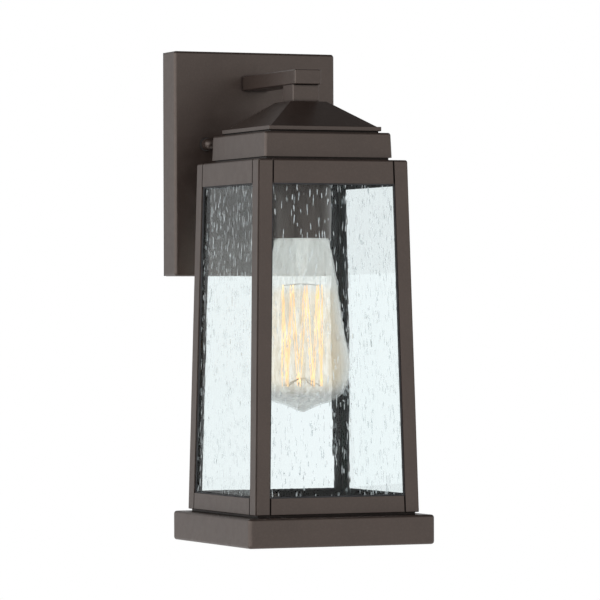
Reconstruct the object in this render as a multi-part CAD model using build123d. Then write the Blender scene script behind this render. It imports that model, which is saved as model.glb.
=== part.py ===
from build123d import *
from math import cos, pi, sin
import os

# Outdoor wall lantern, in millimetres. +Z is up, the wall is the plane Y = 0 and the lantern
# stands out towards -Y. The origin is midway between the two mounting studs, on the wall.

# Wall plate
PLATE_WIDTH = 114.4
PLATE_TOP = 61.0
PLATE_BOTTOM = -86.3
PLATE_DEPTH = 20.8
PLATE_WALL = 1.6
PLATE_CORNER = 2.0
PLATE_EDGE = 1.9
GASKET = 1.5
GASKET_SET_IN = 0.3
GASKET_BAND = 2.2
STUD_SPACING = 69.85
STUD_RADIUS = 2.08
STUD_END = 27.0
STUD_CLEARANCE = 0.5
BOX_SCREW_SPACING = 88.9
BOX_SLOT_RADIUS = 2.25
BOX_SLOT_LENGTH = 12.0
STRAP = 2.0
STRAP_LENGTH = 104.0
STRAP_HEIGHT = 22.0
STRAP_CORNER = 4.0
STRAP_CENTRE_RADIUS = 5.0
STUD_NUT_FLATS = 8.7
STUD_NUT_HEIGHT = 3.1
GROUND_X = 19.0
GROUND_RADIUS = 2.4
GROUND_HEAD_RADIUS = 3.9
GROUND_FLANGE_RADIUS = 4.9
WASHER = 0.8
WASHER_RADIUS = 4.4
CAP_NUT_RADIUS = 4.0
CAP_NUT_SKIRT = 4.4
CAP_NUT_BALL = 3.6
CAP_NUT_BORE = 6.0

# Arm and hanger post
AXIS_OUT = 96.5
ARM_WIDTH = 18.3
ARM_BOTTOM = 35.7
ARM_TOP = 45.1
ARM_END = 108.2
ARM_FLOOR = 2.0
CHANNEL_WIDTH = 8.0
CHANNEL_HEIGHT = 5.4
ARM_SCREW_X = 6.5
ARM_SCREW_LENGTH = 11.0
ARM_EDGE = 0.8
ARM_END_EDGE = 0.7
POST_DEPTH = 16.6

# Roof, cap band and deck
ROOF_FLAT_Z = 24.6
ROOF_FLAT_HALF = 12.7
ROOF_BASE_HALF = 37.0
ROOF_EDGE_Z = 7.7
ROOF_EDGE_HALF = 38.9
ROOF_EDGE_HEIGHT = 2.8
ROOF_WALL = 1.6
BAND_TOP = 3.8
BAND_TOP_HALF = 43.6
BAND_BOTTOM = -12.1
BAND_BOTTOM_HALF = 44.2
BAND_ROUND = 1.8
BAND_WALL = 2.0
BAND_ROOF = 1.6
NECK_HALF = 37.4
DECK_HALF = 42.2

# Tapered cage
CAGE_TOP = -13.8
CAGE_TOP_HALF = 51.5
CAGE_BOTTOM = -237.3
CAGE_BOTTOM_HALF = 56.5
LEG_WIDTH = 9.5
LEG_THICKNESS = 1.8
TOP_RAIL_HEIGHT = 15.2
BOTTOM_RAIL_HEIGHT = 10.5
FLANGE = 1.7
FLANGE_WIDTH = 64.0
TOP_FLANGE_HALF = 33.0
BOTTOM_FLANGE_HALF = 44.5
GROOVE_WIDTH = 1.1
GROOVE_DEPTH = 1.2
CORNER_REBATE = 1.0
CAGE_TOP_ROUND = 1.6

# Glass and its clips
GLASS = 3.0
GLASS_GAP = 0.1
TAPE_WIDTH = 1.0
TAPE = 0.7
CLIP = 0.8
CLIP_WIDTH = 12.0
CLIP_TONGUE = 7.0
SCREW_RADIUS = 1.5
TOP_SCREW_HALF = 39.0
BASE_SCREW_HALF = 47.0
BASE_SCREW_LENGTH = 8.5

# Base tray
TRAY_TOP = -238.8
TRAY_BOTTOM = -257.5
TRAY_HALF = 64.0
TRAY_WALL = 2.2
TRAY_CORNER = 2.6
TRAY_EDGE = 1.9
TRAY_OPENING_HALF = 42.0
PLINTH_HALF = 54.4
PLINTH_OPENING_HALF = 44.0

# Socket on its threaded nipple
NIPPLE_RADIUS = 4.85
NIPPLE_BORE = 3.6
NIPPLE_BOTTOM = -23.5
NUT_FLATS = 14.3
NUT_HEIGHT = 3.5
CUP_RADIUS = 18.8
CUP_WALL = 1.0
CUP_CEILING = 1.2
CUP_SHOULDER = 3.0
CUP_TOP = -17.5
CUP_RIM = -62.9
SOCKET_RADIUS = 17.4
SOCKET_TOP = -26.2
SOCKET_CEILING = -30.0
SOCKET_BOTTOM = -57.5
SHELL_INNER = 13.35
SHELL_OUTER = 13.8
SHELL_LIP_RADIUS = 10.5
SHELL_LIP = 0.5
CONTACT_LENGTH = 16.0
CONTACT_WIDTH = 6.0
TERMINAL_X = 11.6

# Lamp: screw base at the top, glass tip at the bottom
LAMP_TIP = -174.2
LAMP_BASE_TOP = -31.0
LAMP_BASE_RIM = -58.0
THREAD_CREST = 13.1
THREAD_ROOT = 12.4
THREAD_PITCH = 3.63
THREAD_TURNS = 6
CONTACT_RADIUS = 4.6
CONTACT_HEIGHT = 0.7
LAMP_WALL = 0.9
# Radius of the lamp's glass, then height above its tip
LAMP_OUTLINE = ((3.2, 0.8), (10.6, 4.1), (18.4, 6.6), (24.4, 10.6), (28.5, 16.8), (30.3, 25.5),
                (30.2, 34.0), (27.9, 46.5), (25.3, 63.0), (23.1, 79.0), (20.4, 96.0), (18.0, 109.0),
                (14.0, 115.2))
LAMP_NECK_RADIUS = 11.7
LAMP_NECK_TOP = -50.0
FILAMENT_TOP = -93.0
FILAMENT_BOTTOM = -157.5
FILAMENT_RADIUS = 13.2
FILAMENT_WIRE = 0.3
FILAMENT_LOOPS = 9
HOOK_WIRE = 0.22
HOOK_ROOT_RADIUS = 1.7
# Radius and height of the glass mount, down to the pinched rod
STEM_OUTLINE = ((9.5, -55), (8.6, -58), (4.4, -66), (3.6, -80), (1.6, -86))
STEM_ROD_RADIUS = 1.3

# Wiring
LEAD_RADIUS = 1.1
LEAD_OFFSET = 1.6
LEAD_PLANE = -11.0
CONNECTOR_TOP = -24.0
CONNECTOR_X = 16.0
CONNECTOR_HEIGHT = 21.0
CONNECTOR_SKIRT = 4.0
CONNECTOR_RADIUS = 6.0
CONNECTOR_BORE = 3.2
GROUND_WIRE_RADIUS = 0.8

FIT = 0.05
HOLD = 0.02
BASE = (Align.CENTER, Align.CENTER, Align.MIN)
SIDES = {"front": 0, "right": 90, "back": 180, "left": 270}
CORNERS = {"front_left": (-1, -1), "front_right": (1, -1), "back_right": (1, 1), "back_left": (-1, 1)}


def block(low, high):
    """Box between two opposite corners."""
    size = [b - a for a, b in zip(low, high)]
    middle = [(a + b) / 2 for a, b in zip(low, high)]
    return Pos(*middle) * Box(*size)


def rod_up(radius, z0, z1, x=0.0, y=-AXIS_OUT):
    """Upright cylinder, on the lantern's centre line unless told otherwise."""
    return Pos(x, y, z0) * Cylinder(radius, z1 - z0, align=BASE)


def rod_out(radius, out0, out1, x, z):
    """Cylinder square to the wall, between two distances out from it."""
    return Pos(x, -out0, z) * Rot(90, 0, 0) * Cylinder(radius, out1 - out0, align=BASE)


def rod_between(start, end, radius):
    """Cylinder from one point to another."""
    path = Vector(*end) - Vector(*start)
    return Plane(origin=start, z_dir=path) * Cylinder(radius, path.length, align=BASE)


def square_slab(half, z0, z1):
    """Square slab centred on the lantern."""
    return Pos(0, -AXIS_OUT, z0) * Box(2 * half, 2 * half, z1 - z0, align=BASE)


def square_frustum(half0, z0, half1, z1):
    """Four-sided taper centred on the lantern."""
    low = Pos(0, -AXIS_OUT, z0) * Rectangle(2 * half0, 2 * half0)
    high = Pos(0, -AXIS_OUT, z1) * Rectangle(2 * half1, 2 * half1)
    return loft([low, high], ruled=True)


def spin(profile):
    """Solid of revolution about the lantern's centre line from an outline in radius and height."""
    return Pos(0, -AXIS_OUT, 0) * revolve(Plane.XZ * make_face(profile), Axis.Z)


def hex_nut(plane, flats, height, hole):
    """Hexagonal nut standing on a plane."""
    body = extrude(plane * RegularPolygon(flats / 2, 6, major_radius=False), height)
    return body - plane * Cylinder(hole, 3 * height)


def pan_head_screw(plane, radius, length):
    """Screw whose head stands on a plane and whose shank goes down through it."""
    head = Cylinder(1.9 * radius, 1.1 * radius, align=BASE)
    head = fillet(head.edges().sort_by(Axis.Z)[-1], 0.6 * radius)
    head -= Pos(0, 0, 1.1 * radius) * Box(2.6 * radius, 0.4 * radius, 0.8 * radius)
    shank = Pos(0, 0, -length) * Cylinder(radius, length, align=BASE)
    return plane * (head + shank)


def all_round(shape):
    """The same piece on all four sides of the lantern."""
    copies = [turned(shape, angle) for angle in SIDES.values()]
    return copies[0] + copies[1:]


def turned(shape, angle):
    """Piece turned about the lantern's centre line."""
    return Pos(0, -AXIS_OUT, 0) * Rot(0, 0, angle) * Pos(0, AXIS_OUT, 0) * shape


# ---------------------------------------------------------------- wall side

def backplate():
    middle = (PLATE_TOP + PLATE_BOTTOM) / 2
    height = PLATE_TOP - PLATE_BOTTOM
    depth = PLATE_DEPTH - GASKET
    pan = Pos(0, -GASKET - depth / 2, middle) * Box(PLATE_WIDTH, depth, height)
    pan = fillet(pan.edges().filter_by(Axis.Y), PLATE_CORNER)
    pan = fillet(pan.faces().sort_by(Axis.Y)[0].edges(), PLATE_EDGE)
    hollow_depth = depth - PLATE_WALL
    pan -= Pos(0, -GASKET - hollow_depth / 2, middle) * Box(
        PLATE_WIDTH - 2 * PLATE_WALL, hollow_depth, height - 2 * PLATE_WALL)
    channel_z = ARM_BOTTOM + ARM_FLOOR + CHANNEL_HEIGHT / 2
    pan -= Pos(0, -PLATE_DEPTH, channel_z) * Box(CHANNEL_WIDTH, 4 * PLATE_WALL, CHANNEL_HEIGHT)
    for side in (-1, 1):
        pan -= rod_out(STUD_RADIUS + STUD_CLEARANCE, 0, 2 * PLATE_DEPTH, side * STUD_SPACING / 2, 0)
        pan -= rod_out(SCREW_RADIUS + FIT, 0, 2 * PLATE_DEPTH, side * ARM_SCREW_X, channel_z)
    return pan


def wall_gasket():
    middle = (PLATE_TOP + PLATE_BOTTOM) / 2
    height = PLATE_TOP - PLATE_BOTTOM
    opening = 2 * (GASKET_SET_IN + GASKET_BAND)
    outer = Box(PLATE_WIDTH - 2 * GASKET_SET_IN, GASKET, height - 2 * GASKET_SET_IN)
    inner = Box(PLATE_WIDTH - opening, 2 * GASKET, height - opening)
    return Pos(0, -GASKET / 2, middle) * (outer - inner)


def wall_strap():
    strap = Pos(0, -STRAP / 2, 0) * Box(STRAP_LENGTH, STRAP, STRAP_HEIGHT)
    strap = fillet(strap.edges().filter_by(Axis.Y), STRAP_CORNER)
    slot = Plane.XZ * SlotOverall(BOX_SLOT_LENGTH, 2 * BOX_SLOT_RADIUS)
    for side in (-1, 1):
        strap -= Pos(side * BOX_SCREW_SPACING / 2, 0, 0) * extrude(slot, 2 * STRAP, both=True)
        strap -= rod_out(STUD_RADIUS + HOLD, -1, 2 * STRAP, side * STUD_SPACING / 2, 0)
    strap -= rod_out(STRAP_CENTRE_RADIUS, -1, 2 * STRAP, 0, 0)
    strap -= rod_out(GROUND_RADIUS + HOLD, -1, 2 * STRAP, GROUND_X, 0)
    return strap


def mounting_studs():
    studs = [rod_out(STUD_RADIUS, 0.3, STUD_END, side * STUD_SPACING / 2, 0) for side in (-1, 1)]
    studs = [chamfer(stud.edges(), 0.3) for stud in studs]
    return studs[0] + studs[1]


def stud_nuts():
    nuts = []
    for side in (-1, 1):
        plane = Plane(origin=(side * STUD_SPACING / 2, -STRAP, 0), z_dir=(0, -1, 0))
        nuts.append(hex_nut(plane, STUD_NUT_FLATS, STUD_NUT_HEIGHT, STUD_RADIUS + HOLD))
    return nuts[0] + nuts[1]


def ground_screw():
    plane = Plane(origin=(GROUND_X, -STRAP, 0), z_dir=(0, -1, 0))
    hexagon = extrude(plane * RegularPolygon(GROUND_HEAD_RADIUS, 6, major_radius=False), 3.0)
    flange = plane * Cylinder(GROUND_FLANGE_RADIUS, 0.8, align=BASE)
    return hexagon + flange + rod_out(GROUND_RADIUS, 0.1, STRAP + 1, GROUND_X, 0)


def cap_nut_washers():
    washers = []
    for side in (-1, 1):
        x = side * STUD_SPACING / 2
        ring = rod_out(WASHER_RADIUS, PLATE_DEPTH, PLATE_DEPTH + WASHER, x, 0)
        washers.append(ring - rod_out(STUD_RADIUS + STUD_CLEARANCE / 2, 0, 2 * PLATE_DEPTH, x, 0))
    return washers[0] + washers[1]


def cap_nut(side):
    """Domed cap nut: a round skirt, then a ball end, with a blind bore for its stud."""
    seat = PLATE_DEPTH + WASHER + FIT
    skirt = Cylinder(CAP_NUT_RADIUS, CAP_NUT_SKIRT, align=BASE)
    ball = Pos(0, 0, CAP_NUT_SKIRT) * Sphere(CAP_NUT_BALL)
    body = skirt + split(ball, Plane.XY.offset(CAP_NUT_SKIRT), keep=Keep.TOP)
    body = fillet(body.edges().filter_by(GeomType.CIRCLE).group_by(Axis.Z)[0], 0.5)
    body -= Cylinder(STUD_RADIUS + FIT, CAP_NUT_BORE, align=BASE)
    return Plane(origin=(side * STUD_SPACING / 2, -seat, 0), z_dir=(0, -1, 0)) * body


# ---------------------------------------------------------------- arm and roof

def arm():
    half = ARM_WIDTH / 2
    bar = block((-half, -ARM_END, ARM_BOTTOM), (half, -PLATE_DEPTH, ARM_TOP))
    bar = fillet(bar.edges().filter_by(Axis.Y), ARM_EDGE)
    bar = fillet(bar.faces().sort_by(Axis.Y)[0].edges(), ARM_END_EDGE)
    floor = ARM_BOTTOM + ARM_FLOOR
    bar -= block((-CHANNEL_WIDTH / 2, -AXIS_OUT - 5, floor),
                 (CHANNEL_WIDTH / 2, 0, floor + CHANNEL_HEIGHT))
    bar -= rod_up(NIPPLE_RADIUS + HOLD, ARM_BOTTOM - 1, floor + 0.5)
    for side in (-1, 1):
        bar -= rod_out(SCREW_RADIUS + HOLD, 0, PLATE_DEPTH + ARM_SCREW_LENGTH, side * ARM_SCREW_X,
                       floor + CHANNEL_HEIGHT / 2)
    return bar


def arm_screws():
    z = ARM_BOTTOM + ARM_FLOOR + CHANNEL_HEIGHT / 2
    screws = []
    for side in (-1, 1):
        plane = Plane(origin=(side * ARM_SCREW_X, PLATE_WALL - PLATE_DEPTH, z), z_dir=(0, 1, 0))
        screws.append(pan_head_screw(plane, SCREW_RADIUS, ARM_SCREW_LENGTH))
    return screws[0] + screws[1]


def hanger_post():
    half = ARM_WIDTH / 2
    post = block((-half, -AXIS_OUT - POST_DEPTH / 2, ROOF_FLAT_Z),
                 (half, -AXIS_OUT + POST_DEPTH / 2, ARM_BOTTOM))
    post = fillet(post.edges().filter_by(Axis.Z), ARM_END_EDGE)
    post = chamfer(post.faces().sort_by(Axis.Z)[-1].edges(), 0.35)
    return post - rod_up(NIPPLE_RADIUS + FIT, ROOF_FLAT_Z - 1, ARM_BOTTOM + 1)


def roof():
    edge_bottom = ROOF_EDGE_Z - ROOF_EDGE_HEIGHT
    shell = square_frustum(ROOF_BASE_HALF, ROOF_EDGE_Z, ROOF_FLAT_HALF, ROOF_FLAT_Z)
    shell = shell + square_slab(ROOF_EDGE_HALF, edge_bottom, ROOF_EDGE_Z)
    inside = ROOF_BASE_HALF - 1.5 * ROOF_WALL
    hollow = square_frustum(inside, ROOF_EDGE_Z, ROOF_FLAT_HALF - 1.2, ROOF_FLAT_Z - ROOF_WALL)
    hollow += square_slab(inside, edge_bottom - 1, ROOF_EDGE_Z)
    return shell - hollow - rod_up(NIPPLE_RADIUS + FIT, 0, ROOF_FLAT_Z + 1)


def cap_band():
    band = square_frustum(BAND_BOTTOM_HALF, BAND_BOTTOM, BAND_TOP_HALF, BAND_TOP)
    _, upright, upper = band.edges().group_by(Axis.Z)
    band = fillet(upright + upper, BAND_ROUND)
    band += square_slab(NECK_HALF, BAND_TOP, ROOF_EDGE_Z - ROOF_EDGE_HEIGHT)
    band -= square_slab(BAND_TOP_HALF - BAND_WALL, BAND_BOTTOM - 1, BAND_TOP - BAND_ROOF)
    return band - rod_up(NIPPLE_RADIUS + FIT, 0, ROOF_EDGE_Z)


def deck_plate():
    deck = square_slab(DECK_HALF, CAGE_TOP, BAND_BOTTOM)
    deck -= rod_up(NIPPLE_RADIUS + FIT, CAGE_TOP - 1, BAND_BOTTOM + 1)
    hole = rod_up(SCREW_RADIUS + HOLD, CAGE_TOP - 1, BAND_BOTTOM + 1, y=-AXIS_OUT - TOP_SCREW_HALF)
    return deck - all_round(hole)


# ---------------------------------------------------------------- cage

def cage_half(z):
    """Half the cage's outside width at a height."""
    share = (z - CAGE_BOTTOM) / (CAGE_TOP - CAGE_BOTTOM)
    return CAGE_BOTTOM_HALF + share * (CAGE_TOP_HALF - CAGE_BOTTOM_HALF)


def cage_taper(inset, z0=CAGE_BOTTOM, z1=CAGE_TOP):
    """Solid taper of the cage, set in from its outside faces."""
    return square_frustum(cage_half(z0) - inset, z0, cage_half(z1) - inset, z1)


def cage_slice(inset, z0=CAGE_BOTTOM, z1=CAGE_TOP):
    """Tapered slice that runs from front to back and keeps clear of the side faces."""
    deep = 4 * TRAY_HALF
    low = Pos(0, -AXIS_OUT, z0) * Rectangle(2 * (cage_half(z0) - inset), deep)
    high = Pos(0, -AXIS_OUT, z1) * Rectangle(2 * (cage_half(z1) - inset), deep)
    return loft([low, high], ruled=True)


def front_half(shape):
    """The part of a shape in front of the lantern's centre line."""
    return shape & block((-100, -AXIS_OUT - 100, -300), (100, -AXIS_OUT - 40, 100))


def rounded_cage():
    """Outside of the cage with its top and bottom edges eased."""
    solid = cage_taper(0)
    solid = fillet(solid.faces().sort_by(Axis.Z)[-1].edges(), CAGE_TOP_ROUND)
    return fillet(solid.faces().sort_by(Axis.Z)[0].edges(), 0.5)


def cage_walls(outside):
    """Thin walls of the cage, with a ledge round the top that the deck plate closes."""
    hollow = cage_taper(LEG_THICKNESS, CAGE_BOTTOM, CAGE_TOP - FLANGE)
    return outside - hollow - cage_taper(LEG_WIDTH, CAGE_TOP - 2 * FLANGE, CAGE_TOP + 1)


def corner_post(outside, corner):
    """Angle-section post with a rebate down its outside corner."""
    x_side, y_side = corner
    walls = cage_walls(outside) - cage_slice(LEG_WIDTH) - turned(cage_slice(LEG_WIDTH), 90)
    reach = 100 * x_side
    depth = 100 * y_side
    quarter = block((min(0, reach), -AXIS_OUT + min(0, depth), CAGE_BOTTOM - 1),
                    (max(0, reach), -AXIS_OUT + max(0, depth), CAGE_TOP + 1))
    edge = quarter - cage_slice(CORNER_REBATE) - turned(cage_slice(CORNER_REBATE), 90)
    return (walls & quarter) - edge


def rail(outside, z0, z1, flange):
    """Front rail and its flange, with a fine groove where it meets each of the two posts."""
    wall = front_half(cage_walls(outside) & cage_slice(LEG_WIDTH, z0, z1))
    skin = cage_taper(-1, z0, z1) - cage_taper(GROOVE_DEPTH, z0, z1)
    ends = skin - cage_slice(LEG_WIDTH + GROOVE_WIDTH, z0, z1)
    return wall - ends + flange


def top_rail(outside, side):
    z0 = CAGE_TOP - TOP_RAIL_HEIGHT
    ledge_edge = -AXIS_OUT - CAGE_TOP_HALF + LEG_WIDTH
    flange = block((-FLANGE_WIDTH / 2, ledge_edge - 1, CAGE_TOP - FLANGE),
                   (FLANGE_WIDTH / 2, -AXIS_OUT - TOP_FLANGE_HALF, CAGE_TOP))
    hole = rod_up(SCREW_RADIUS + HOLD, z0, CAGE_TOP + 1, y=-AXIS_OUT - TOP_SCREW_HALF)
    return turned(rail(outside, z0, CAGE_TOP, flange) - hole, SIDES[side])


def bottom_rail(outside, side):
    z1 = CAGE_BOTTOM + BOTTOM_RAIL_HEIGHT
    wall_middle = -AXIS_OUT - CAGE_BOTTOM_HALF + LEG_THICKNESS / 2
    flange = block((-FLANGE_WIDTH / 2, wall_middle, CAGE_BOTTOM),
                   (FLANGE_WIDTH / 2, -AXIS_OUT - BOTTOM_FLANGE_HALF, CAGE_BOTTOM + FLANGE))
    hole = rod_up(SCREW_RADIUS + HOLD, CAGE_BOTTOM - 1, z1, y=-AXIS_OUT - BASE_SCREW_HALF)
    return turned(rail(outside, CAGE_BOTTOM, z1, flange) - hole, SIDES[side])


def glass_pane(side):
    z0 = CAGE_BOTTOM + FLANGE + 0.3
    z1 = CAGE_TOP - FLANGE - 0.3
    outer = LEG_THICKNESS + GLASS_GAP
    slab = cage_taper(outer, z0, z1) - cage_taper(outer + GLASS, z0, z1)
    pane = front_half(slab & cage_slice(outer + GLASS + 0.2, z0, z1))
    return turned(pane, SIDES[side])


def glazing_tape():
    """Thin dark tape round the edge of every window, on the outside of its glass."""
    z0 = CAGE_BOTTOM + BOTTOM_RAIL_HEIGHT
    z1 = CAGE_TOP - TOP_RAIL_HEIGHT
    opening = cage_slice(LEG_WIDTH + TAPE_WIDTH, z0 + TAPE_WIDTH, z1 - TAPE_WIDTH)
    ring = cage_slice(LEG_WIDTH, z0, z1) - opening
    layer = cage_taper(LEG_THICKNESS - TAPE, z0, z1) - cage_taper(LEG_THICKNESS + GLASS_GAP / 2, z0, z1)
    return all_round(front_half(layer & ring))


def clip(foot_z, tongue_z, inner_half, outer_half, screw_half):
    """Bent clip: a foot on the rail's flange and a tongue against the glass."""
    x = CLIP_WIDTH / 2
    low, high = sorted((foot_z, foot_z + (CLIP if tongue_z > foot_z else -CLIP)))
    foot = block((-x, -AXIS_OUT - outer_half, low), (x, -AXIS_OUT - inner_half, high))
    low, high = sorted((foot_z, tongue_z))
    tongue = block((-x, -AXIS_OUT - outer_half, low), (x, -AXIS_OUT - outer_half + CLIP, high))
    return foot + tongue - rod_up(SCREW_RADIUS + HOLD, foot_z - 3, foot_z + 3, y=-AXIS_OUT - screw_half)


def top_clips():
    foot_z = CAGE_TOP - FLANGE
    tongue_z = foot_z - CLIP_TONGUE
    glass_inside = cage_half(foot_z) - LEG_THICKNESS - GLASS_GAP - GLASS
    return all_round(clip(foot_z, tongue_z, TOP_FLANGE_HALF + 2, glass_inside - FIT, TOP_SCREW_HALF))


def bottom_clips():
    foot_z = CAGE_BOTTOM + FLANGE
    tongue_z = foot_z + CLIP_TONGUE
    glass_inside = cage_half(tongue_z) - LEG_THICKNESS - GLASS_GAP - GLASS
    return all_round(clip(foot_z, tongue_z, BOTTOM_FLANGE_HALF, glass_inside - FIT, BASE_SCREW_HALF))


def deck_screws():
    plane = Plane(origin=(0, -AXIS_OUT - TOP_SCREW_HALF, CAGE_TOP - FLANGE - CLIP), z_dir=(0, 0, -1))
    return all_round(pan_head_screw(plane, SCREW_RADIUS, FLANGE + CLIP + 2.8))


def base_screws():
    plane = Plane(origin=(0, -AXIS_OUT - BASE_SCREW_HALF, CAGE_BOTTOM + FLANGE + CLIP), z_dir=(0, 0, 1))
    return all_round(pan_head_screw(plane, SCREW_RADIUS, BASE_SCREW_LENGTH))


def plinth():
    """Recessed plate between the cage and the base tray."""
    plate = square_slab(PLINTH_HALF, TRAY_TOP, CAGE_BOTTOM)
    plate -= square_slab(PLINTH_OPENING_HALF, TRAY_TOP - 1, CAGE_BOTTOM + 1)
    hole = rod_up(SCREW_RADIUS + FIT, TRAY_TOP - 1, CAGE_BOTTOM + 1, y=-AXIS_OUT - BASE_SCREW_HALF)
    return plate - all_round(hole)


def base_tray():
    """Square tray, open underneath, round the opening that the lamp passes through."""
    tray = square_slab(TRAY_HALF, TRAY_BOTTOM, TRAY_TOP)
    tray = fillet(tray.edges().filter_by(Axis.Z), TRAY_CORNER)
    tray = fillet(tray.faces().sort_by(Axis.Z)[-1].edges(), TRAY_EDGE)
    tray = fillet(tray.faces().sort_by(Axis.Z)[0].edges(), TRAY_EDGE)
    tray -= square_slab(TRAY_OPENING_HALF, TRAY_BOTTOM - 1, TRAY_TOP + 1)
    tray -= square_slab(TRAY_HALF - TRAY_WALL, TRAY_BOTTOM - 1, TRAY_TOP - TRAY_WALL)
    hole = rod_up(SCREW_RADIUS + HOLD, TRAY_TOP - 4, TRAY_TOP + 1, y=-AXIS_OUT - BASE_SCREW_HALF)
    return tray - all_round(hole)


# ---------------------------------------------------------------- socket

def nipple():
    top = ARM_BOTTOM + ARM_FLOOR
    return rod_up(NIPPLE_RADIUS, NIPPLE_BOTTOM, top) - rod_up(NIPPLE_BORE, NIPPLE_BOTTOM - 1, top + 1)


def nipple_nuts():
    """Three lock nuts: under the cap band, under the deck and inside the socket cup."""
    seats = (BAND_TOP - BAND_ROOF, CAGE_TOP - 0.1, CUP_TOP - CUP_CEILING)
    nuts = [hex_nut(Plane(origin=(0, -AXIS_OUT, z - NUT_HEIGHT)), NUT_FLATS, NUT_HEIGHT, NIPPLE_RADIUS + HOLD)
            for z in seats]
    return nuts[0] + nuts[1:]


def socket_cup():
    outline = Polyline((0, CUP_TOP), (CUP_RADIUS - CUP_SHOULDER, CUP_TOP),
                       (CUP_RADIUS, CUP_TOP - CUP_SHOULDER), (CUP_RADIUS, CUP_RIM), (0, CUP_RIM), close=True)
    shoulder = CUP_SHOULDER + CUP_WALL
    hollow = rod_up(CUP_RADIUS - CUP_WALL, CUP_RIM - 1, CUP_TOP - shoulder)
    hollow += rod_up(CUP_RADIUS - shoulder, CUP_TOP - shoulder - 1, CUP_TOP - CUP_CEILING)
    return spin(outline) - hollow - rod_up(NIPPLE_RADIUS + FIT, CUP_TOP - shoulder, CUP_TOP + 1)


def socket_body():
    body = rod_up(SOCKET_RADIUS, SOCKET_BOTTOM, SOCKET_TOP)
    body -= rod_up(SHELL_OUTER + 0.1, SOCKET_BOTTOM - 1, SOCKET_CEILING)
    for side in (-1, 1):
        body -= rod_up(SCREW_RADIUS + HOLD, SOCKET_CEILING - 1, SOCKET_TOP + 1, x=side * TERMINAL_X)
    return body


def socket_shell():
    top = SOCKET_CEILING - 0.4
    bottom = SOCKET_BOTTOM + 0.5
    tube = rod_up(SHELL_OUTER, bottom, top) - rod_up(SHELL_INNER, bottom - 1, top + 1)
    lip = rod_up(SHELL_OUTER, top - SHELL_LIP, top) - rod_up(SHELL_LIP_RADIUS, top - 1, top + 1)
    return tube + lip


def socket_contact():
    """Springy strip under the socket's ceiling that meets the lamp's tip contact."""
    strip = Pos(0, -AXIS_OUT, SOCKET_CEILING - 0.35) * Box(CONTACT_LENGTH, CONTACT_WIDTH, 0.5)
    return fillet(strip.edges().filter_by(Axis.Z), 2)


def terminal_screws():
    screws = []
    for side in (-1, 1):
        plane = Plane(origin=(side * TERMINAL_X, -AXIS_OUT, SOCKET_TOP), z_dir=(0, 0, 1))
        screws.append(pan_head_screw(plane, SCREW_RADIUS, 3.4))
    return screws[0] + screws[1]


# ---------------------------------------------------------------- lamp

def lamp_profile(inset):
    """Closed half outline of the lamp's glass, set in by its wall."""
    points = [(0, LAMP_TIP + inset)]
    for radius, height in LAMP_OUTLINE:
        shift = inset if height < 20 else -inset if height > 110 else 0
        points.append((radius - inset, LAMP_TIP + height + shift))
    wall = Spline(*points, tangents=((1, 0), (-0.6, 0.8)))
    neck = LAMP_NECK_RADIUS - inset
    top = LAMP_NECK_TOP + inset
    rim = Polyline(points[-1], (neck, LAMP_BASE_RIM - 0.2 - inset), (neck, top), (0, top), points[0])
    return Curve() + [wall, rim]


def lamp_glass():
    return spin(lamp_profile(0)) - spin(lamp_profile(LAMP_WALL))


def lamp_base():
    """Screw base of thin brass with rolled thread ridges."""
    bottom = LAMP_BASE_RIM + 0.3
    points = [(12.0, bottom), (THREAD_CREST, bottom), (THREAD_CREST, bottom + 0.8)]
    for turn in range(THREAD_TURNS):
        z = bottom + 0.8 + turn * THREAD_PITCH
        points += [(THREAD_ROOT, z + THREAD_PITCH / 2), (THREAD_CREST, z + THREAD_PITCH)]
    points += [(8.2, LAMP_BASE_TOP - 2.0), (7.8, LAMP_BASE_TOP - 2.3), (12.0, points[-1][1] - 0.5)]
    return spin(Polyline(*points, close=True))


def lamp_insulator():
    """Dark glass ring between the screw base and the tip contact."""
    return spin(Polyline((0, LAMP_BASE_TOP - 2.6), (7.7, LAMP_BASE_TOP - 2.6),
                         (7.9, LAMP_BASE_TOP - 1.9), (CONTACT_RADIUS + 0.2, LAMP_BASE_TOP - CONTACT_HEIGHT),
                         (0, LAMP_BASE_TOP - CONTACT_HEIGHT), close=True))


def lamp_contact():
    button = rod_up(CONTACT_RADIUS, LAMP_BASE_TOP - CONTACT_HEIGHT, LAMP_BASE_TOP)
    return fillet(button.edges().sort_by(Axis.Z)[-1], 0.5)


def lamp_stem():
    """Glass mount: a flared foot, a tube and a pinched rod that carries the supports."""
    end = FILAMENT_BOTTOM + 3
    rod = ((STEM_ROD_RADIUS, end), (0, end))
    return spin(Polyline((0, STEM_OUTLINE[0][1]), *STEM_OUTLINE, *rod, close=True))


def cage_point(index, radius, z):
    """Point on a circle of filament hooks."""
    angle = 2 * pi * index / (2 * FILAMENT_LOOPS)
    return (radius * cos(angle), -AXIS_OUT + radius * sin(angle), z)


def lamp_filament():
    """Long filament that runs up and down between two rings of hooks."""
    points = [cage_point(i, FILAMENT_RADIUS, FILAMENT_TOP if i % 2 else FILAMENT_BOTTOM)
              for i in range(2 * FILAMENT_LOOPS)]
    wire = [rod_between(a, b, FILAMENT_WIRE) for a, b in zip(points, points[1:])]
    knots = [Pos(*point) * Sphere(1.2 * FILAMENT_WIRE) for point in points]
    return wire[0] + wire[1:] + knots


def lamp_hooks():
    """Fine wires out from the glass rod to the turns of the filament."""
    hooks = []
    for i in range(2 * FILAMENT_LOOPS):
        z = FILAMENT_TOP if i % 2 else FILAMENT_BOTTOM
        root = FILAMENT_TOP + 1 if i % 2 else FILAMENT_BOTTOM + 5
        hooks.append(rod_between(cage_point(i, HOOK_ROOT_RADIUS, root),
                                 cage_point(i, FILAMENT_RADIUS - 0.9, z), HOOK_WIRE))
    return hooks[0] + hooks[1:]


# ---------------------------------------------------------------- wiring

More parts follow.
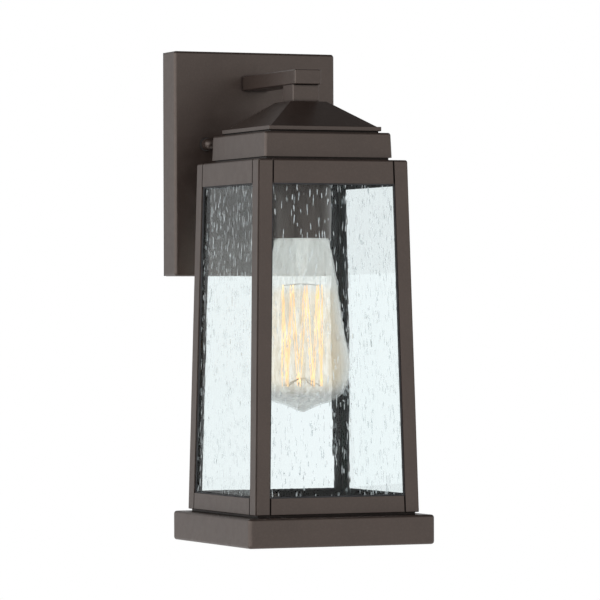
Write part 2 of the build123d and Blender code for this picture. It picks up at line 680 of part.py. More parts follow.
def lead(side):
    """Insulated wire from a socket terminal, up the nipple, along the arm and down to its connector."""
    x = side * LEAD_OFFSET
    foot = SOCKET_TOP + LEAD_RADIUS + 0.1
    channel = ARM_BOTTOM + ARM_FLOOR + CHANNEL_HEIGHT / 2
    route = [(side * 7.6, -AXIS_OUT, foot), (x, -AXIS_OUT, foot), (x, -AXIS_OUT, channel),
             (x, LEAD_PLANE, channel), (x, LEAD_PLANE, 28), (side * CONNECTOR_X, LEAD_PLANE, -4),
             (side * CONNECTOR_X, LEAD_PLANE, CONNECTOR_TOP - 2)]
    return tube(route, [1.3, 2.4, 4.0, 9.0, 9.0])


def ground_lead():
    """Bare copper from the strap's ground screw to its connector."""
    route = [(GROUND_X - 5.2, -3.6, 0), (5.0, -3.6, 0), (0, -9.0, -9.0), (0, LEAD_PLANE, CONNECTOR_TOP - 2)]
    return tube(route, [3.0, 5.0], GROUND_WIRE_RADIUS)


def tube(route, radii, radius=LEAD_RADIUS):
    """Round wire along straight runs joined by arcs."""
    path = FilletPolyline(*route, radius=radii)
    start = Plane(origin=path @ 0, z_dir=path % 0)
    return sweep(start * Circle(radius), path=path)


def wire_connectors():
    """Three twist-on connectors where the lantern's wires meet the supply's."""
    caps = []
    for x in (-CONNECTOR_X, 0, CONNECTOR_X):
        skirt = CONNECTOR_HEIGHT - CONNECTOR_SKIRT
        outline = Polyline((0, 0), (3.6, 0), (4.4, -1.2), (CONNECTOR_RADIUS, skirt),
                           (CONNECTOR_RADIUS, CONNECTOR_HEIGHT), (0, CONNECTOR_HEIGHT), close=True)
        cap = revolve(Plane.XZ * make_face(outline), Axis.Z)
        cap -= Pos(0, 0, 12) * Cylinder(CONNECTOR_BORE, CONNECTOR_HEIGHT, align=BASE)
        caps.append(Pos(x, LEAD_PLANE, CONNECTOR_TOP - CONNECTOR_HEIGHT) * cap)
    return caps[0] + caps[1:]


def all_parts():
    """Every node and its shape."""
    outside = rounded_cage()
    parts = {
        "backplate": backplate(),
        "wall_gasket": wall_gasket(),
        "wall_strap": wall_strap(),
        "mounting_studs": mounting_studs(),
        "stud_nuts": stud_nuts(),
        "ground_screw": ground_screw(),
        "cap_nut_washers": cap_nut_washers(),
        "cap_nut_left": cap_nut(-1),
        "cap_nut_right": cap_nut(1),
        "arm": arm(),
        "arm_screws": arm_screws(),
        "hanger_post": hanger_post(),
        "roof": roof(),
        "cap_band": cap_band(),
        "deck_plate": deck_plate(),
        "deck_screws": deck_screws(),
        "glazing_tape": glazing_tape(),
        "top_glass_clips": top_clips(),
        "bottom_glass_clips": bottom_clips(),
        "base_screws": base_screws(),
        "plinth": plinth(),
        "base_tray": base_tray(),
        "nipple": nipple(),
        "nipple_nuts": nipple_nuts(),
        "socket_cup": socket_cup(),
        "socket_body": socket_body(),
        "socket_shell": socket_shell(),
        "socket_contact": socket_contact(),
        "terminal_screws": terminal_screws(),
        "lamp_glass": lamp_glass(),
        "lamp_base": lamp_base(),
        "lamp_insulator": lamp_insulator(),
        "lamp_contact": lamp_contact(),
        "lamp_stem": lamp_stem(),
        "lamp_filament": lamp_filament(),
        "lamp_hooks": lamp_hooks(),
        "lead_hot": lead(1),
        "lead_neutral": lead(-1),
        "ground_lead": ground_lead(),
        "wire_connectors": wire_connectors(),
    }
    for name, corner in CORNERS.items():
        parts[f"corner_post_{name}"] = corner_post(outside, corner)
    for side in SIDES:
        parts[f"top_rail_{side}"] = top_rail(outside, side)
        parts[f"bottom_rail_{side}"] = bottom_rail(outside, side)
        parts[f"glass_{side}"] = glass_pane(side)
    return parts


os.makedirs("parts", exist_ok=True)
for node, shape in all_parts().items():
    export_step(shape, f"parts/{node}.step")
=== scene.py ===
import math
import random

import bmesh
import bpy
from mathutils import Euler, Matrix, Vector


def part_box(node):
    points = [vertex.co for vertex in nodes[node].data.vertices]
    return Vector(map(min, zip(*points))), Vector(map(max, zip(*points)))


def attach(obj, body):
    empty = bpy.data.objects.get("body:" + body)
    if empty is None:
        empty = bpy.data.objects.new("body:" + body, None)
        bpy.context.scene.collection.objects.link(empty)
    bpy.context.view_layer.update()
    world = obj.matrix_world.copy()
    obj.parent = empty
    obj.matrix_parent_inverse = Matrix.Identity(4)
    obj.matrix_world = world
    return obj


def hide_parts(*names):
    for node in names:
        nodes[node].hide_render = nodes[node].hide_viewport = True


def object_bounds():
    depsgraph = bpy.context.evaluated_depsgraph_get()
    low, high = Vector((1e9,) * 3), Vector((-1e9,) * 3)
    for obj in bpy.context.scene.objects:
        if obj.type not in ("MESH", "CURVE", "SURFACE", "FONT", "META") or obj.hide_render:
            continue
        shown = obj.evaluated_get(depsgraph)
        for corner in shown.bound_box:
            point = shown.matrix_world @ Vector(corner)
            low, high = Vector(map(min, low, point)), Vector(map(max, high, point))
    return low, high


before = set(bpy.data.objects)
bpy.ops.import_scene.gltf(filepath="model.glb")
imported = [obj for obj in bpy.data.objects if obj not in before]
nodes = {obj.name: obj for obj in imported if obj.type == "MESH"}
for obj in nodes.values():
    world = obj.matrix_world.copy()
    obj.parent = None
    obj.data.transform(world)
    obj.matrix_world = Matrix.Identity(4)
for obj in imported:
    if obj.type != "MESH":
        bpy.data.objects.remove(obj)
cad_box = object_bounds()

MM = 0.001
scene = bpy.context.scene


# ---------------------------------------------------------------- node helpers
class Shader:
    """A material with one Principled surface, and short ways to add pattern nodes to it."""

    def __init__(self, name):
        self.material = bpy.data.materials.new(name)
        self.material.use_nodes = True
        self.tree = self.material.node_tree
        self.surface = self.tree.nodes["Principled BSDF"]
        self.output = self.tree.nodes["Material Output"]
        self.place = self.add("ShaderNodeTexCoord").outputs["Object"]

    def add(self, kind, **settings):
        node = self.tree.nodes.new(kind)
        for name, value in settings.items():
            setattr(node, name, value)
        return node

    def link(self, source, target):
        self.tree.links.new(source, target)
        return source

    def set(self, **values):
        for name, value in values.items():
            self.surface.inputs[name.replace("_", " ")].default_value = value

    def stretched(self, scale):
        mapping = self.add("ShaderNodeMapping")
        mapping.inputs["Scale"].default_value = scale
        self.link(self.place, mapping.inputs["Vector"])
        return mapping.outputs["Vector"]

    def noise(self, scale, detail=2.0, rough=0.5, stretch=None):
        node = self.add("ShaderNodeTexNoise")
        node.inputs["Scale"].default_value = scale
        node.inputs["Detail"].default_value = detail
        node.inputs["Roughness"].default_value = rough
        self.link(self.stretched(stretch) if stretch else self.place, node.inputs["Vector"])
        return node.outputs["Fac"]

    def ramp(self, source, low, high, start, end):
        """source between low and high, spread from start to end."""
        node = self.add("ShaderNodeMapRange")
        for name, value in zip(("From Min", "From Max", "To Min", "To Max"), (low, high, start, end)):
            node.inputs[name].default_value = value
        self.link(source, node.inputs["Value"])
        return node.outputs["Result"]

    def maths(self, operation, first, second):
        node = self.add("ShaderNodeMath", operation=operation)
        self.link(first, node.inputs[0])
        self.link(second, node.inputs[1])
        return node.outputs[0]

    def mix(self, factor, first, second):
        node = self.add("ShaderNodeMix", data_type="RGBA")
        self.link(factor, node.inputs["Factor"])
        for socket, value in zip((node.inputs[6], node.inputs[7]), (first, second)):
            if isinstance(value, tuple):
                socket.default_value = (*value, 1.0)
            else:
                self.link(value, socket)
        return node.outputs[2]

    def colour(self, source):
        self.link(source, self.surface.inputs["Base Color"])

    def roughness(self, source):
        self.link(source, self.surface.inputs["Roughness"])

    def bump(self, height, depth, strength=1.0):
        """A bump of that depth in metres on the surface's normal, on top of any bump before it."""
        node = self.add("ShaderNodeBump")
        node.inputs["Strength"].default_value = strength
        node.inputs["Distance"].default_value = depth
        self.link(height, node.inputs["Height"])
        before = self.surface.inputs["Normal"].links
        if before:
            self.link(before[0].from_socket, node.inputs["Normal"])
        self.link(node.outputs["Normal"], self.surface.inputs["Normal"])


def mottled(name, dark, light, rough, metallic=0.0, patch=70.0, grain=1500.0, grain_depth=0.00003):
    """A finish with soft colour patches, uneven gloss and a fine grain."""
    s = Shader(name)
    s.set(Metallic=metallic)
    patches = s.noise(patch, detail=5.0, rough=0.6)
    s.colour(s.mix(s.ramp(patches, 0.3, 0.7, 0.0, 1.0), dark, light))
    gloss = s.noise(patch * 3.1, detail=3.0)
    s.roughness(s.ramp(gloss, 0.25, 0.75, rough[0], rough[1]))
    s.bump(s.noise(grain, detail=2.0), grain_depth)
    return s


# ---------------------------------------------------------------- finishes
PAINT_DARK, PAINT_LIGHT = (0.021, 0.0135, 0.0110), (0.029, 0.0190, 0.0155)
PAINT_DUST = (0.055, 0.040, 0.034)
PAINT_SHEEN = (1.0, 0.86, 0.78, 1.0)
# Painted shade: the paint colour used in seams, creases and recesses, where shade falls.
CREASE_SHADE_DARK = (0.004, 0.003, 0.003)
CREASE_SHADE_REACH = 3.0  # mm over which the painted shade in seams and creases reaches
CREASE_SHADE_SHUT, CREASE_SHADE_OPEN = 0.35, 0.8  # how open a spot is where the painted shade is full, and where it ends


def powder_coat():
    """Dark bronze powder coat: fine orange peel, faint mottling, paler dust, and painted shade that darkens
    and dulls the paint in seams and creases.
    """
    s = Shader("bronze_powder_coat")
    s.set(Specular_Tint=PAINT_SHEEN)
    broad = s.noise(38.0, detail=4.0, rough=0.6)
    base = s.mix(s.ramp(broad, 0.3, 0.7, 0.0, 1.0), PAINT_DARK, PAINT_LIGHT)
    fine = s.noise(900.0, detail=2.0)
    paint = s.mix(s.ramp(fine, 0.45, 0.8, 0.0, 0.35), base, PAINT_DUST)
    # Painted shade: ambient occlusion darkens the paint colour and dulls its reflection in seams and creases.
    crease_shade = s.add("ShaderNodeAmbientOcclusion", samples=8)
    crease_shade.inputs["Distance"].default_value = CREASE_SHADE_REACH * MM
    openness = crease_shade.outputs["AO"]
    s.colour(s.mix(s.ramp(openness, CREASE_SHADE_SHUT, CREASE_SHADE_OPEN, 1.0, 0.0), paint, CREASE_SHADE_DARK))
    s.link(s.ramp(openness, CREASE_SHADE_SHUT, CREASE_SHADE_OPEN, 0.15, 0.9), s.surface.inputs["Specular IOR Level"])
    s.roughness(s.ramp(s.noise(160.0, detail=3.0), 0.3, 0.7, 0.34, 0.42))
    s.bump(s.noise(260.0, detail=1.0), 0.00004, 0.6)
    s.bump(s.noise(1500.0, detail=2.0), 0.00002, 0.7)
    return s.material


PANE_IOR = 1.24  # under real glass's 1.5, for panes that mirror the room less
PANE_ABSORBED = (0.30, 0.82, 0.70, 1.0)
PANE_DENSITY = 12.0


def seeded_glass_material():
    """Clear glass with a pale blue-green body and soft vertical draw lines."""
    s = Shader("seeded_glass")
    s.set(Roughness=0.0, IOR=PANE_IOR, Transmission_Weight=1.0)
    tint = s.noise(30.0, detail=2.0, stretch=(1.0, 1.0, 0.2))
    s.colour(s.mix(tint, (0.935, 0.965, 0.975), (0.975, 0.988, 0.998)))
    s.bump(s.noise(150.0, detail=3.0, rough=0.6, stretch=(1.0, 1.0, 0.16)), 0.0003, 0.45)
    body = s.add("ShaderNodeVolumeAbsorption")
    body.inputs["Color"].default_value = PANE_ABSORBED
    body.inputs["Density"].default_value = PANE_DENSITY
    s.link(body.outputs["Volume"], s.output.inputs["Volume"])
    return s.material


def seed_material():
    """An air seed's skin, partly see-through: its grey colour and faint glow are a painted silvery
    reflection, and the rest of the light goes through.
    """
    s = Shader("air_seeds")
    # Painted reflection: a grey skin and a faint emission stand in for the light a bubble reflects.
    s.set(Roughness=0.25, IOR=1.3, Emission_Color=(0.93, 0.97, 1.0, 1.0), Emission_Strength=0.27)
    flecks = s.noise(700.0, detail=2.0)
    s.colour(s.mix(flecks, (0.62, 0.66, 0.67), (0.90, 0.93, 0.94)))
    s.link(s.ramp(flecks, 0.3, 0.7, 0.22, 0.52), s.surface.inputs["Alpha"])
    return s.material


MILK_THIN, MILK_THICK = (0.34, 0.35, 0.34), (0.86, 0.86, 0.83)
# Painted shade: the grey the glass turns where it is seen edge-on.
RIM_SHADE_GREY = (0.30, 0.31, 0.30)
RIM_COVER = 0.62
# Painted glow: the glass emits light in place of the filament's light lit in it.
PAINTED_GLOW_COOL, PAINTED_GLOW_WARM = (0.95, 0.97, 0.93), (1.0, 0.78, 0.48)
PAINTED_GLOW_STRENGTH = 0.46
PAINTED_GLOW_FADE_LOW, PAINTED_GLOW_FADE_HIGH = -6.0, 4.0  # mm from the filament's lowest point
PAINTED_GLOW_BLEND = 6.0  # mm below the filament's top over which the painted glow turns warm


def lamp_glass_material():
    """Thin blown glass of a lit lamp: a milky bloom in drawn streaks, with a painted glow, warm beside the
    filament, and painted shade on its outline.
    """
    s = Shader("lamp_clear_glass")
    s.set(IOR=1.45)
    streaks = s.noise(420.0, detail=4.0, rough=0.7, stretch=(1.0, 1.0, 0.10))
    edge = s.add("ShaderNodeLayerWeight")
    edge.inputs["Blend"].default_value = 0.5
    facing = edge.outputs["Facing"]
    # Painted shade: the glass is greyed and more opaque where it is seen edge-on.
    rim = s.ramp(facing, 0.72, 0.97, 0.0, 1.0)
    milk = s.mix(s.ramp(streaks, 0.4, 0.6, 0.0, 1.0), MILK_THIN, MILK_THICK)
    s.colour(s.mix(rim, milk, RIM_SHADE_GREY))
    haze = s.ramp(streaks, 0.38, 0.62, 0.42, 0.09)
    cover = s.maths("MAXIMUM", haze, s.ramp(rim, 0.0, 1.0, 0.0, RIM_COVER))
    s.link(cover, s.surface.inputs["Alpha"])
    s.roughness(s.ramp(s.noise(90.0), 0.3, 0.7, 0.04, 0.10))
    low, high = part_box("lamp_filament")
    split = s.add("ShaderNodeSeparateXYZ")
    s.link(s.place, split.inputs["Vector"])
    height = split.outputs["Z"]
    # Painted glow: the glass emits light, warm close below the filament's top, rising from below the
    # filament's lowest point and dimmer on its outline.
    warm = s.maths("MULTIPLY", s.ramp(height, high.z, high.z - PAINTED_GLOW_BLEND * MM, 0.0, 1.0),
                   s.ramp(facing, 0.25, 0.65, 1.0, 0.0))
    s.link(s.mix(warm, PAINTED_GLOW_COOL, PAINTED_GLOW_WARM), s.surface.inputs["Emission Color"])
    rise = s.ramp(height, low.z + PAINTED_GLOW_FADE_LOW * MM, low.z + PAINTED_GLOW_FADE_HIGH * MM, 0.0, PAINTED_GLOW_STRENGTH)
    s.link(s.maths("MULTIPLY", rise, s.ramp(rim, 0.0, 1.0, 1.0, 0.35)),
           s.surface.inputs["Emission Strength"])
    return s.material


FILAMENT_GLOW = 1.25


def filament_material():
    """Carbon filament at a warm, dim glow that is brighter and dimmer in patches along it."""
    s = Shader("filament_glow")
    s.set(Roughness=0.6)
    along = s.noise(60.0, detail=2.0)
    s.colour(s.mix(along, (0.75, 0.42, 0.16), (0.95, 0.66, 0.32)))
    s.link(s.mix(s.ramp(along, 0.35, 0.65, 0.0, 1.0), (1.0, 0.42, 0.13), (1.0, 0.60, 0.26)),
           s.surface.inputs["Emission Color"])
    s.surface.inputs["Emission Strength"].default_value = FILAMENT_GLOW
    return s.material


def rolled_metal(name, dark, light, rough):
    """Bare or plated metal with fine draw lines."""
    s = mottled(name, dark, light, rough, metallic=1.0, patch=120.0, grain=2200.0, grain_depth=0.00001)
    s.bump(s.noise(900.0, detail=2.0, stretch=(1.0, 1.0, 0.08)), 0.00001, 0.5)
    return s.material


def foam():
    s = mottled("gasket_foam", (0.028, 0.028, 0.030), (0.055, 0.055, 0.058), (0.85, 0.97), patch=90.0)
    cells = s.add("ShaderNodeTexVoronoi")
    cells.inputs["Scale"].default_value = 1400.0
    s.link(s.place, cells.inputs["Vector"])
    s.bump(cells.outputs["Distance"], 0.00018, 0.9)
    return s.material


FINISHES = {
    "bronze": powder_coat,
    "seeded_glass": seeded_glass_material,
    "lamp_clear_glass": lamp_glass_material,
    "filament": filament_material,
    "gasket_foam": foam,
    "washer_rubber": lambda: mottled("washer_rubber", (0.018, 0.018, 0.018), (0.035, 0.034, 0.033),
                                     (0.6, 0.8)).material,
    "zinc_steel": lambda: rolled_metal("zinc_steel", (0.50, 0.51, 0.52), (0.68, 0.68, 0.66), (0.28, 0.45)),
    "clip_steel": lambda: rolled_metal("clip_steel", (0.075, 0.063, 0.055), (0.12, 0.102, 0.09),
                                       (0.22, 0.36)),
    "dark_screws": lambda: rolled_metal("dark_screws", (0.05, 0.042, 0.038), (0.10, 0.085, 0.075),
                                        (0.35, 0.5)),
    "ground_green": lambda: mottled("ground_green", (0.02, 0.19, 0.07), (0.04, 0.28, 0.11),
                                    (0.3, 0.45), metallic=0.3).material,
    "socket_phenolic": lambda: mottled("socket_phenolic", (0.010, 0.009, 0.008), (0.022, 0.020, 0.019),
                                       (0.3, 0.45)).material,
    "brass": lambda: rolled_metal("brass", (0.66, 0.47, 0.18), (0.82, 0.64, 0.30), (0.25, 0.42)),
    "lamp_brass": lambda: rolled_metal("lamp_brass", (0.60, 0.44, 0.20), (0.80, 0.63, 0.34), (0.22, 0.38)),
    "lamp_contact_metal": lambda: rolled_metal("lamp_contact_metal", (0.45, 0.45, 0.45),
                                               (0.62, 0.61, 0.60), (0.3, 0.5)),
    "lamp_black_glass": lambda: mottled("lamp_black_glass", (0.008, 0.008, 0.012), (0.02, 0.02, 0.028),
                                        (0.08, 0.18)).material,
    "support_wire": lambda: rolled_metal("support_wire", (0.14, 0.11, 0.09), (0.26, 0.21, 0.17), (0.35, 0.5)),
    "lead_black": lambda: mottled("lead_black", (0.012, 0.012, 0.012), (0.028, 0.028, 0.028),
                                  (0.4, 0.55)).material,
    "lead_white": lambda: mottled("lead_white", (0.66, 0.65, 0.61), (0.78, 0.77, 0.74),
                                  (0.4, 0.55)).material,
    "copper": lambda: rolled_metal("copper", (0.55, 0.24, 0.13), (0.78, 0.40, 0.25), (0.28, 0.45)),
    "connector_plastic": lambda: mottled("connector_plastic", (0.62, 0.20, 0.03), (0.76, 0.30, 0.06),
                                         (0.35, 0.5)).material,
}
finish = {name: make() for name, make in FINISHES.items()}
seeds_finish = seed_material()

node_slot = {}
for name, piece in nodes.items():
    node_slot[name] = piece.material_slots[0].material.name.split(".")[0]
    for material_slot in piece.material_slots:
        material_slot.material = finish[node_slot[name]]


# ---------------------------------------------------------------- rounded edges on the metalwork
EDGE_ROUND = {
    "backplate": 0.9, "arm": 0.5, "hanger_post": 0.45, "roof": 0.35, "cap_band": 0.35, "deck_plate": 0.25,
    "plinth": 0.25, "base_tray": 0.9,
}
FRAME_ROUND = 0.4


def soften(piece, width):
    """Joins the split corners of a CAD mesh, clears the triangles from its flats and rounds its edges."""
    weld = piece.modifiers.new("weld", "WELD")
    weld.merge_threshold = 0.00001
    flats = piece.modifiers.new("flats", "DECIMATE")
    flats.decimate_type = "DISSOLVE"
    flats.angle_limit = math.radians(0.5)
    bevel = piece.modifiers.new("edges", "BEVEL")
    bevel.width = width * MM
    bevel.segments = 3
    bevel.limit_method = "ANGLE"
    bevel.angle_limit = math.radians(40)
    bevel.use_clamp_overlap = True
    even = piece.modifiers.new("normals", "WEIGHTED_NORMAL")
    even.keep_sharp = False


for name, piece in nodes.items():
    if node_slot[name] != "bronze":
        continue
    if name in EDGE_ROUND:
        soften(piece, EDGE_ROUND[name])
    elif name.startswith(("corner_post", "top_rail", "bottom_rail")):
        soften(piece, FRAME_ROUND)


# ---------------------------------------------------------------- seeded glass panes
PANE_STEP = 2.5  # mm between the points of a pane's wavy faces
PANE_WAVE = 0.06  # mm
LONG_SEEDS = 18
SMALL_SEEDS = 30
SILVER_SEEDS = 520
SEED_EDGE = 1.6  # mm of clear glass kept between a seed and the pane's outline
LONG_SIZE = (0.9, 3.6, 1.3)  # mm, half the length: least, most and commonest
LONG_REACH = (0.26, 0.52)  # mm, half the width: least and most
SMALL_SIZE = (0.25, 0.8)
SMALL_REACH = (0.16, 0.30)
SILVER_SIZE = (0.8, 4.2, 1.5)
SILVER_REACH = (0.16, 0.48, 0.24)


def pane_corner_boxes(name):
    """The pane's lowest and highest outline: (z, x range, y range) of each."""
    points = [v.co for v in nodes[name].data.vertices]
    found = []
    for z in (min(p.z for p in points), max(p.z for p in points)):
        level = [p for p in points if abs(p.z - z) < 0.00005]
        found.append((z, (min(p.x for p in level), max(p.x for p in level)),
                      (min(p.y for p in level), max(p.y for p in level))))
    return found


def add_seed(mesh, middle, along, across, through, sizes, rings, sides):
    """A closed, drawn-out bubble. The caller turns its faces."""
    length, width, depth = sizes
    top = mesh.verts.new(middle + along * length)
    bottom = mesh.verts.new(middle - along * length)
    loops = []
    for i in range(1, rings):
        lift = math.cos(math.pi * i / rings)
        reach = math.sin(math.pi * i / rings)
        loops.append([mesh.verts.new(middle + along * (length * lift)
                                     + across * (width * reach * math.cos(2 * math.pi * k / sides))
                                     + through * (depth * reach * math.sin(2 * math.pi * k / sides)))
                      for k in range(sides)])
    faces = []
    for k in range(sides):
        after = (k + 1) % sides
        faces.append((top, loops[0][k], loops[0][after]))
        faces.append((bottom, loops[-1][after], loops[-1][k]))
        for upper, lower in zip(loops, loops[1:]):
            faces.append((upper[k], lower[k], lower[after], upper[after]))
    made = [mesh.faces.new(f) for f in faces]
    for face in made:
        face.smooth = True
    return made


def finished(mesh, name, material):
    """A mesh as a piece of the lantern's glass."""
    data = bpy.data.meshes.new(name)
    mesh.to_mesh(data)
    mesh.free()
    data.materials.append(material)
    piece = bpy.data.objects.new(name, data)
    scene.collection.objects.link(piece)
    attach(piece, "lantern")
    return piece


def seeded_pane(name, seed):
    """A wavy sheet on the CAD pane's outline, with air seeds drawn up and down inside it.

    A few seeds are hollows in the sheet. The rest are silvery closed bodies in a piece of their own.
    """
    draw = random.Random(seed)
    (z0, x0, y0), (z1, x1, y1) = pane_corner_boxes(name)
    facing_y = (x0[1] - x0[0]) > (y0[1] - y0[0])

    def at(u, v, w):
        """u across the pane, v up it and w through it, each from 0 to 1."""
        a, b = (u, w) if facing_y else (w, u)
        x = (x0[0] + a * (x0[1] - x0[0])) * (1 - v) + (x1[0] + a * (x1[1] - x1[0])) * v
        y = (y0[0] + b * (y0[1] - y0[0])) * (1 - v) + (y1[0] + b * (y1[1] - y1[0])) * v
        return Vector((x, y, z0 + (z1 - z0) * v))

    across = (at(1, 0, 0.5) - at(0, 0, 0.5)).normalized()
    along = (at(0.5, 1, 0.5) - at(0.5, 0, 0.5)).normalized()
    through = across.cross(along).normalized()
    width = (at(1, 0, 0.5) - at(0, 0, 0.5)).length
    height = (at(0.5, 1, 0.5) - at(0.5, 0, 0.5)).length
    depth = (at(0.5, 0.5, 1) - at(0.5, 0.5, 0)).length
    across_count = round(width / (PANE_STEP * MM))
    up_count = round(height / (PANE_STEP * 1.6 * MM))
    phases = [draw.uniform(0, 2 * math.pi) for _ in range(6)]

    def wave(u, v, side):
        ripple = (math.sin(9.0 * u * math.pi + 2.0 * math.sin(3.0 * v + phases[0]) + phases[1 + side])
                  + 0.7 * math.sin(17.0 * u * math.pi + 4.0 * v + phases[3 + side])
                  + 0.5 * math.sin(7.0 * v * math.pi + 5.0 * u + phases[5]))
        return (ripple / 2.2 * 0.5 + 0.5) * PANE_WAVE * MM / depth

    mesh = bmesh.new()
    grids = []
    for side in (0, 1):
        grid = []
        for j in range(up_count + 1):
            v = j / up_count
            grid.append([mesh.verts.new(at(i / across_count, v,
                                           wave(i / across_count, v, side) if side == 0
                                           else 1 - wave(i / across_count, v, side)))
                         for i in range(across_count + 1)])
        grids.append(grid)
    inner, outer = grids
    for j in range(up_count):
        for i in range(across_count):
            for grid, turn in ((inner, 1), (outer, -1)):
                corners = (grid[j][i], grid[j][i + 1], grid[j + 1][i + 1], grid[j + 1][i])
                mesh.faces.new(corners[::turn]).smooth = True
    rim = ([(0, i) for i in range(across_count)] + [(j, across_count) for j in range(up_count)]
           + [(up_count, i) for i in range(across_count, 0, -1)] + [(j, 0) for j in range(up_count, 0, -1)])
    for (j, i), (j2, i2) in zip(rim, rim[1:] + rim[:1]):
        mesh.faces.new((inner[j][i], outer[j][i], outer[j2][i2], inner[j2][i2]))
    bmesh.ops.recalc_face_normals(mesh, faces=mesh.faces)
    cavities = []
    for index in range(LONG_SEEDS + SMALL_SEEDS):
        long_seed = index < LONG_SEEDS
        if long_seed:
            half = draw.triangular(*LONG_SIZE) * MM
            reach = draw.uniform(*LONG_REACH) * MM
        else:
            half = draw.uniform(*SMALL_SIZE) * MM
            reach = draw.uniform(*SMALL_REACH) * MM
        thick = min(reach * draw.uniform(0.7, 1.0), 0.5 * MM)
        margin_u = (SEED_EDGE * MM + reach) / width
        margin_v = (SEED_EDGE * MM + half) / height
        u = draw.uniform(margin_u, 1 - margin_u)
        v = draw.uniform(margin_v, 1 - margin_v)
        w = draw.uniform(0.34, 0.66)
        lean = draw.gauss(0.0, 0.07)
        up = (along + across * lean).normalized()
        cavities += add_seed(mesh, at(u, v, w), up, across, through, (half, reach, thick),
                             8 if long_seed else 6, 8 if long_seed else 6)
    bmesh.ops.recalc_face_normals(mesh, faces=cavities)
    bmesh.ops.reverse_faces(mesh, faces=cavities)
    pane = finished(mesh, "seeded_" + name, finish["seeded_glass"])
    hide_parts(name)

    silver = bmesh.new()
    for _ in range(SILVER_SEEDS):
        half = draw.triangular(*SILVER_SIZE) * MM
        reach = draw.triangular(*SILVER_REACH) * MM
        u = draw.uniform((SEED_EDGE * MM + reach) / width, 1 - (SEED_EDGE * MM + reach) / width)
        v = draw.uniform((SEED_EDGE * MM + half) / height, 1 - (SEED_EDGE * MM + half) / height)
        up = (along + across * draw.gauss(0.0, 0.08)).normalized()
        add_seed(silver, at(u, v, draw.uniform(0.3, 0.7)), up, across, through,
                 (half, reach, 0.7 * reach), 8, 8)
    bmesh.ops.recalc_face_normals(silver, faces=silver.faces)
    finished(silver, "seeds_" + name, seeds_finish)


FIRST_SEED = 11
for index, name in enumerate(("glass_front", "glass_right", "glass_back", "glass_left")):
    seeded_pane(name, FIRST_SEED + index)


# ---------------------------------------------------------------- floor, light and camera
FLOOR_DROP = 0.5
FLOOR_RADIUS = 6.0
FLOOR_GLOW = 0.55
ROOM_FILL = 0.62
LEFT_PANEL = ((-0.95, -0.31, 0.0), 0.0, 1.7)  # direction, where it fades to nothing, strength
FRONT_PANEL = ((0.50, -0.87, 0.0), 0.1, 0.28)


def floor():
    low, high = cad_box
    middle = Vector(((low[0] + high[0]) / 2, (low[1] + high[1]) / 2, low[2] - FLOOR_DROP))
    mesh = bmesh.new()
    rings = [0.5, 1.0, 2.0, 4.0, FLOOR_RADIUS]
    sides = 64
    hub = mesh.verts.new(middle)
    before = None
    for radius in rings:
        ring = [mesh.verts.new(middle + Vector((radius * math.cos(2 * math.pi * k / sides),
                                                radius * math.sin(2 * math.pi * k / sides), 0)))
                for k in range(sides)]
        for k in range(sides):
            after = (k + 1) % sides
            if before is None:
                mesh.faces.new((hub, ring[k], ring[after]))
            else:
                mesh.faces.new((before[k], ring[k], ring[after], before[after]))
        before = ring
    data = bpy.data.meshes.new("floor")
    mesh.to_mesh(data)
    mesh.free()
    piece = bpy.data.objects.new("floor", data)
    scene.collection.objects.link(piece)
    s = Shader("pale_floor")
    s.set(Roughness=0.9)
    s.colour(s.mix(s.noise(3.0), (0.80, 0.80, 0.80), (0.84, 0.84, 0.84)))
    s.surface.inputs["Emission Color"].default_value = (1.0, 1.0, 1.0, 1.0)
    s.surface.inputs["Emission Strength"].default_value = FLOOR_GLOW
    clear = s.add("ShaderNodeBsdfTransparent")
    below = s.add("ShaderNodeMixShader")
    s.link(s.add("ShaderNodeNewGeometry").outputs["Backfacing"], below.inputs["Fac"])
    s.link(s.surface.outputs["BSDF"], below.inputs[1])
    s.link(clear.outputs["BSDF"], below.inputs[2])
    s.link(below.outputs["Shader"], s.output.inputs["Surface"])
    data.materials.append(s.material)


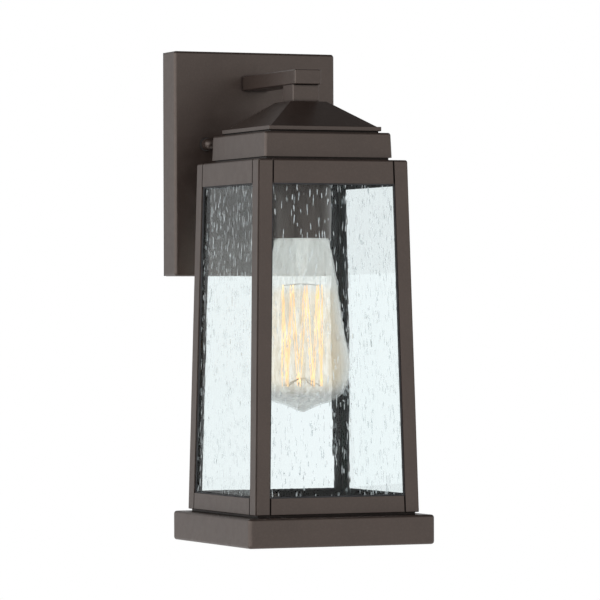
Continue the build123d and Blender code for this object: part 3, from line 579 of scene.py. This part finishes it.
def studio():
    """A white room with a bright panel on the left and a soft one in front, dim overhead."""
    world = bpy.data.worlds.new("studio")
    scene.world = world
    world.use_nodes = True
    tree = world.node_tree
    tree.nodes.clear()

    def add(kind, **settings):
        node = tree.nodes.new(kind)
        for name, value in settings.items():
            setattr(node, name, value)
        return node

    def math_node(operation, first, second):
        node = add("ShaderNodeMath", operation=operation)
        for socket, value in zip(node.inputs, (first, second)):
            if isinstance(value, (int, float)):
                socket.default_value = value
            else:
                tree.links.new(value, socket)
        return node.outputs[0]

    def spread(source, low, high, start, end):
        node = add("ShaderNodeMapRange", interpolation_type="SMOOTHSTEP")
        for name, value in zip(("From Min", "From Max", "To Min", "To Max"), (low, high, start, end)):
            node.inputs[name].default_value = value
        tree.links.new(source, node.inputs["Value"])
        return node.outputs["Result"]

    direction = add("ShaderNodeTexCoord").outputs["Generated"]
    split = add("ShaderNodeSeparateXYZ")
    tree.links.new(direction, split.inputs["Vector"])
    lift = spread(split.outputs["Z"], 0.20, 0.80, 1.0, 0.10)

    def panel(towards, start, strength):
        """A soft bright patch of wall in one direction."""
        turned = add("ShaderNodeVectorMath", operation="DOT_PRODUCT")
        tree.links.new(direction, turned.inputs[0])
        turned.inputs[1].default_value = towards
        return spread(turned.outputs["Value"], start, 1.0, 0.0, strength)

    sides = math_node("ADD", panel(*LEFT_PANEL), panel(*FRONT_PANEL))
    light = math_node("MULTIPLY", lift, math_node("ADD", sides, ROOM_FILL))
    path = add("ShaderNodeLightPath")
    seen = math_node("MAXIMUM", path.outputs["Is Camera Ray"], path.outputs["Is Transmission Ray"])
    room = add("ShaderNodeBackground")
    tree.links.new(light, room.inputs["Strength"])
    room.inputs["Color"].default_value = (1.0, 1.0, 1.0, 1.0)
    white = add("ShaderNodeBackground")
    white.inputs["Color"].default_value = (1.0, 1.0, 1.0, 1.0)
    white.inputs["Strength"].default_value = 1.0
    choose = add("ShaderNodeMixShader")
    tree.links.new(seen, choose.inputs["Fac"])
    tree.links.new(room.outputs[0], choose.inputs[1])
    tree.links.new(white.outputs[0], choose.inputs[2])
    tree.links.new(choose.outputs[0], add("ShaderNodeOutputWorld").inputs["Surface"])


CAMERA_TURN = math.radians(23.516)
CAMERA_AWAY = 2.6207
CAMERA_SIDE = -0.0012
CAMERA_HEIGHT = -0.112
CAMERA_PITCH = math.radians(0.2105)
CAMERA_ROLL = math.radians(-0.20)
CAMERA_LENS = 244.96
CAMERA_SENSOR = 36.0


def camera():
    data = bpy.data.cameras.new("camera")
    data.sensor_width = CAMERA_SENSOR
    data.lens = CAMERA_LENS
    data.clip_start = 0.05
    data.clip_end = 50.0
    eye = bpy.data.objects.new("camera", data)
    scene.collection.objects.link(eye)
    low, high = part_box("roof")
    axis_y = (low.y + high.y) / 2
    eye.location = (CAMERA_SIDE - CAMERA_AWAY * math.sin(CAMERA_TURN),
                    axis_y - CAMERA_AWAY * math.cos(CAMERA_TURN), CAMERA_HEIGHT)
    level = Euler((math.pi / 2 + CAMERA_PITCH, 0.0, -CAMERA_TURN)).to_matrix()
    eye.rotation_euler = (level @ Matrix.Rotation(CAMERA_ROLL, 3, "Z")).to_euler()
    scene.camera = eye


floor()
studio()
camera()

scene.view_settings.view_transform = "Standard"
scene.view_settings.look = "None"
scene.cycles.use_denoising = True
scene.cycles.max_bounces = 24
scene.cycles.transmission_bounces = 24
scene.cycles.transparent_max_bounces = 24
scene.cycles.glossy_bounces = 6
scene.cycles.diffuse_bounces = 4
